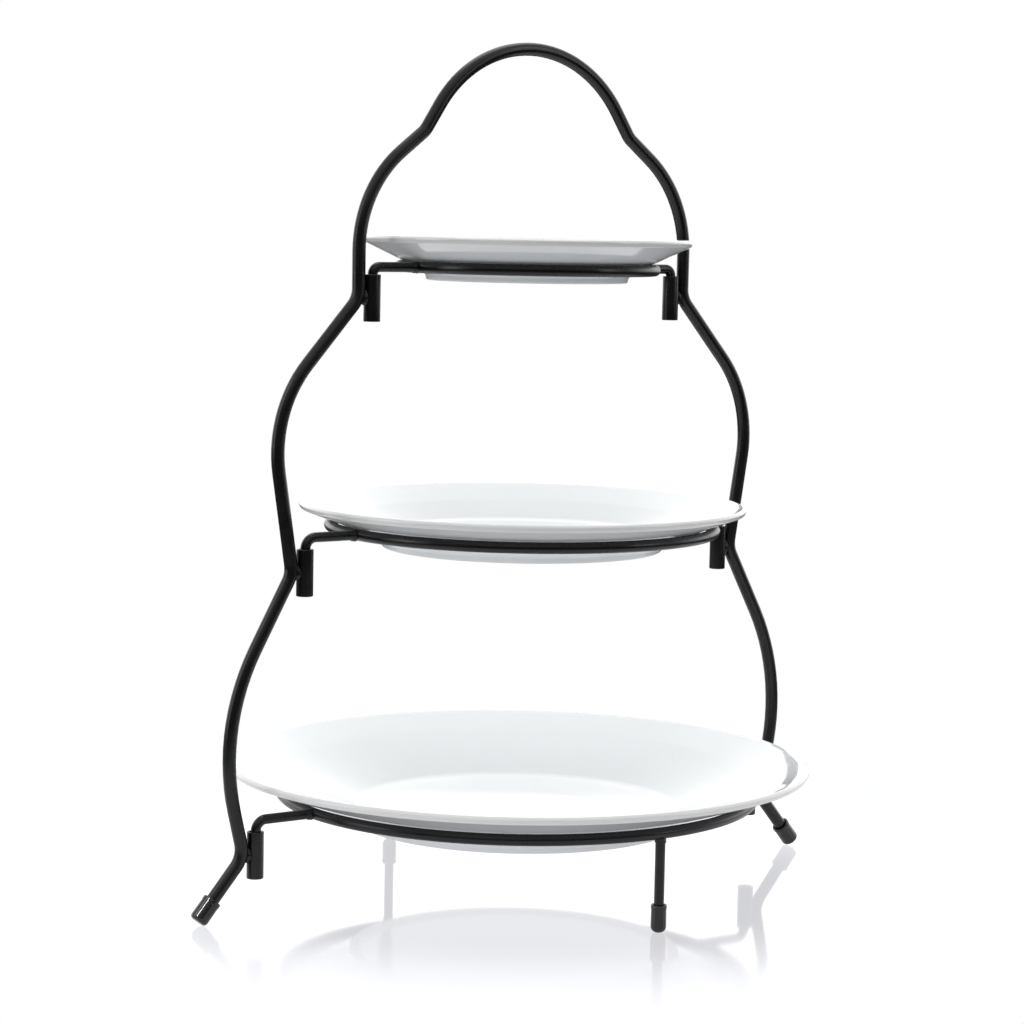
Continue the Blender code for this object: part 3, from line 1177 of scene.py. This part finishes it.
@dataclass
class Plate:
    """A round porcelain plate: flat well, sloping wall, rolled lip and a turned foot."""

    tier: str
    glaze: bpy.types.Material
    ring_wire: float = Carrier.ring_wire
    gap: float = Arch.gap
    foot_inset: float = 0.0
    wall: float = 0.0040
    base: float = 0.0045
    foot_width: float = 0.0045
    foot_height: float = 0.0030
    recess: float = 0.0018
    lip_width: float = 0.0042
    lip_height: float = 0.0035
    lip_round: float = 0.0016
    lip_drop: float = 0.35
    lip_roll: tuple[Extents, ...] = ((0.9, 0.0, 1.1), (0.0, 0.8, 0.6), (0.5, 2.0, 0.7))
    lip_inside: float = 0.003
    lip_under: float = 0.004
    seat_round: float = 0.05
    foot_fillet: float = 0.002
    recess_round: float = 0.0008
    rim_band: float = 0.020
    rim_lift: float = 0.0009
    rim_round: float = 0.030
    well_round: float = 0.010
    well_step: float = 0.0008
    well_flat: float = 0.0035
    well_bend: float = 0.006
    well_rise: float = 0.0010
    dish: float = 0.0006
    dish_bend: Extents = (0.55, 0.6, 0.30)
    foot_round: float = 0.0012
    corner_step: float = 0.12
    sharp: float = 1.0
    steps: int = 192

    def outline(self) -> Outline:
        """The plate's outline, from the middle of its well over its lip to the middle of its foot.

        Returns:
            The outline, with its foot at height 0.
        """
        low, high = box_of(f"{self.tier}_plate")
        rim, height = high.x, high.z - low.z
        ring_low, ring_high = box_of(f"{self.tier}_ring")
        ring = Vector((ring_high.x - self.ring_wire, (ring_low.z + ring_high.z) / 2 - low.z))
        foot = ring.x - self.foot_inset
        wall_foot = Vector((foot + self.lip_round / 2, self.foot_height))
        wall_head = Vector((rim - self.lip_round, height - self.lip_height))
        slope = wall_head - wall_foot
        normal = Vector((-slope.y, slope.x)).normalized()
        seat = ring + normal * (self.ring_wire + self.gap)
        inside = seat + normal * self.wall
        along = slope.normalized()
        well = self.recess + self.base
        well_edge = inside - along * ((inside.y - well - self.well_step) / along.y)
        inner_lip = Vector((rim - self.lip_width, height - self.lip_round * self.lip_drop))
        band = inner_lip - along * self.rim_band + normal * self.rim_lift
        share, drop, crown = self.dish_bend
        roll = [tuple(self.lip_round * part for part in corner) for corner in self.lip_roll]
        corners = [
            (0.0, well - self.dish, 0.0),
            (well_edge.x * share, well - self.dish * drop, crown),
            (well_edge.x - self.well_flat, well, self.well_bend),
            (well_edge.x + self.well_rise, well + self.well_step, self.well_round),
            (band.x, band.y, self.rim_round),
            (inner_lip.x, inner_lip.y, self.lip_inside),
            *((rim - inwards, height - down, radius) for inwards, down, radius in roll),
            (wall_head.x, wall_head.y, self.lip_under),
            (seat.x, seat.y, self.seat_round),
            (wall_foot.x, wall_foot.y, self.foot_fillet),
            (foot, 0.0, self.foot_round),
            (foot - self.foot_width, 0.0, self.foot_round),
            (foot - self.foot_width, self.recess, self.recess_round),
            (0.0, self.recess, 0.0),
        ]
        return rounded_outline(corners, self.corner_step)

    def build(self) -> None:
        """Builds the plate."""
        low, high = box_of(f"{self.tier}_plate")
        bm = turned(self.outline(), self.steps)
        # The lip attribute is the share of painted shade on the lip, rising to 1 at the rim.
        lip = bm.verts.layers.float.new("lip")
        for vert in bm.verts:
            reach = math.hypot(vert.co.x, vert.co.y)
            vert[lip] = min(1.0, max(0.0, (reach - high.x + self.lip_width) / self.lip_width))
        plate = as_object(f"{self.tier}_dish", bm, self.glaze, self.sharp)
        plate.location = (0.0, 0.0, low.z)
        hand_over(plate, f"{self.tier}_dish", Slot.PORCELAIN, f"{self.tier}_plate")


@dataclass
class Softbox:
    """One area light, aimed at the stand."""

    name: str
    azimuth: float
    elevation: float
    distance: float
    size: Span
    power: float
    only: Slot | None = None

    def build(self, target: Vector) -> None:
        """Builds the light.

        Args:
            target: the point that it is aimed at.
        """
        light = bpy.data.lights.new(self.name, "AREA")
        light.shape = "RECTANGLE"
        light.size, light.size_y = self.size
        light.energy = self.power
        obj = bpy.data.objects.new(self.name, light)
        turn, rise = math.radians(self.azimuth), math.radians(self.elevation)
        level = math.cos(rise)
        away = Vector((math.sin(turn) * level, -math.cos(turn) * level, math.sin(rise)))
        obj.location = target + away * self.distance
        obj.rotation_mode = "QUATERNION"
        obj.rotation_quaternion = (-away).to_track_quat("-Z", "Y")
        obj.visible_camera = False
        bpy.context.scene.collection.objects.link(obj)
        if self.only:
            obj.light_linking.receiver_collection = pieces_with(self.only)


@dataclass
class Studio:
    """A white studio: a glossy floor, a bright backdrop, softboxes and the camera."""

    floor_radius: float = 0.45
    floor_segments: int = 128
    backdrop_azimuth: float = 145.0
    overhead: float = 0.92
    backdrop: float = 1.75
    room: float = 0.12
    under: float = 0.06
    backdrop_facing: Span = (-0.1, 0.6)
    overhead_rise: Span = (0.25, 0.75)
    under_rise: Span = (-0.12, 0.0)
    azimuth: float = -35.0
    distance: float = 1.33664
    height: float = 0.311325
    pan: float = 0.20484
    pitch: float = 5.80985
    roll: float = 1.11934
    lens: float = 101.55
    sensor: float = 36.0
    clip: Span = (0.05, 20.0)
    softboxes: tuple[Softbox, ...] = (
        Softbox("left_softbox", -105.0, 18.0, 1.3, (0.5, 1.1), 4.0),
        Softbox("right_softbox", 40.0, 22.0, 1.5, (0.35, 1.0), 3.0),
        Softbox("top_softbox", 145.0, 70.0, 1.4, (1.0, 1.0), 6.0),
        Softbox("plate_fill", -50.0, 0.0, 1.7, (1.2, 0.6), 3.6, Slot.PORCELAIN),
        Softbox("cap_strip", -72.0, 25.0, 1.3, (0.09, 0.8), 15.0, Slot.CAP),
    )

    def build_floor(self) -> None:
        """Builds the round floor sheet."""
        bm = bmesh.new()
        segments, radius = self.floor_segments, self.floor_radius
        bmesh.ops.create_circle(bm, cap_ends=True, segments=segments, radius=radius)
        floor = as_object("studio_floor", bm, FloorGloss().material())

    def build_world(self) -> None:
        """Builds the light around the stand: a bright backdrop and ceiling, and a dim room."""
        world = bpy.data.worlds.new("studio_light")
        world.use_nodes = True
        graph = Graph(world.node_tree)
        way = graph.add("TexCoord").outputs["Generated"]
        turn = math.radians(self.backdrop_azimuth)
        behind = (math.sin(turn), -math.cos(turn), 0.0)
        facing = graph.add("VectorMath", {0: way, 1: behind}, operation="DOT_PRODUCT")
        rise = graph.add("SeparateXYZ", {"Vector": way}).outputs["Z"]
        shine = (self.room, self.backdrop)
        side = graph.spread(facing.outputs["Value"], self.backdrop_facing, shine)
        up = graph.spread(rise, self.overhead_rise, (0.0, 1.0))
        down = graph.spread(rise, self.under_rise, (1.0, 0.0))
        around = graph.add("CombineColor", {0: side, 1: side, 2: side}).outputs[0]
        level = graph.blend(up, around, tinted(WHITE, self.overhead))
        ringed = graph.blend(down, level, tinted(WHITE, self.under))
        seen = graph.add("LightPath").outputs["Is Camera Ray"]
        light = graph.blend(seen, ringed, tinted(WHITE))
        graph.surface(graph.add("Background", {"Color": light, "Strength": 1.0}))
        bpy.context.scene.world = world

    def build_camera(self) -> None:
        """Builds the camera."""
        data = bpy.data.cameras.new("camera")
        data.lens = self.lens
        data.sensor_width = self.sensor
        data.clip_start, data.clip_end = self.clip
        camera = bpy.data.objects.new("camera", data)
        turn = math.radians(self.azimuth)
        aim = math.radians(self.azimuth + self.pan)
        pitch, roll = math.radians(self.pitch), math.radians(self.roll)
        level = math.cos(pitch)
        forward = Vector((-math.sin(aim) * level, math.cos(aim) * level, -math.sin(pitch)))
        right = forward.cross(Z_AXIS).normalized()
        above = right.cross(forward)
        tilted = right * math.cos(roll) + above * math.sin(roll)
        upright = above * math.cos(roll) - right * math.sin(roll)
        place = Vector((math.sin(turn), -math.cos(turn), 0.0)) * self.distance
        place.z = self.height
        turned_to = Matrix((tilted, upright, -forward)).transposed().to_4x4()
        camera.matrix_world = Matrix.Translation(place) @ turned_to
        bpy.context.scene.collection.objects.link(camera)
        bpy.context.scene.camera = camera

    def build(self) -> None:
        """Builds the studio."""
        bpy.context.scene.view_settings.view_transform = "Standard"
        self.build_camera()
        self.build_world()
        self.build_floor()
        low, high = CAD_BOX
        for softbox in self.softboxes:
            softbox.build((low + high) / 2)


def main() -> None:
    """Builds the stand and its studio."""
    logging.basicConfig(level=logging.INFO, format="%(message)s")
    coat = PowderCoat().material()
    vinyl = CapVinyl().material()
    glaze = PorcelainGlaze().material()
    Studio().build()
    Arch(coat, vinyl).build()
    LeggedCarrier("bottom", coat, vinyl=vinyl).build()
    Carrier("middle", coat).build()
    Carrier("top", coat, elbow=0.0033).build()
    Plate("bottom", glaze, foot_inset=0.0330).build()
    Plate("middle", glaze, foot_inset=0.0244).build()
    Plate("top", glaze, foot_inset=0.0124).build()


if __name__ == "__main__":
    main()
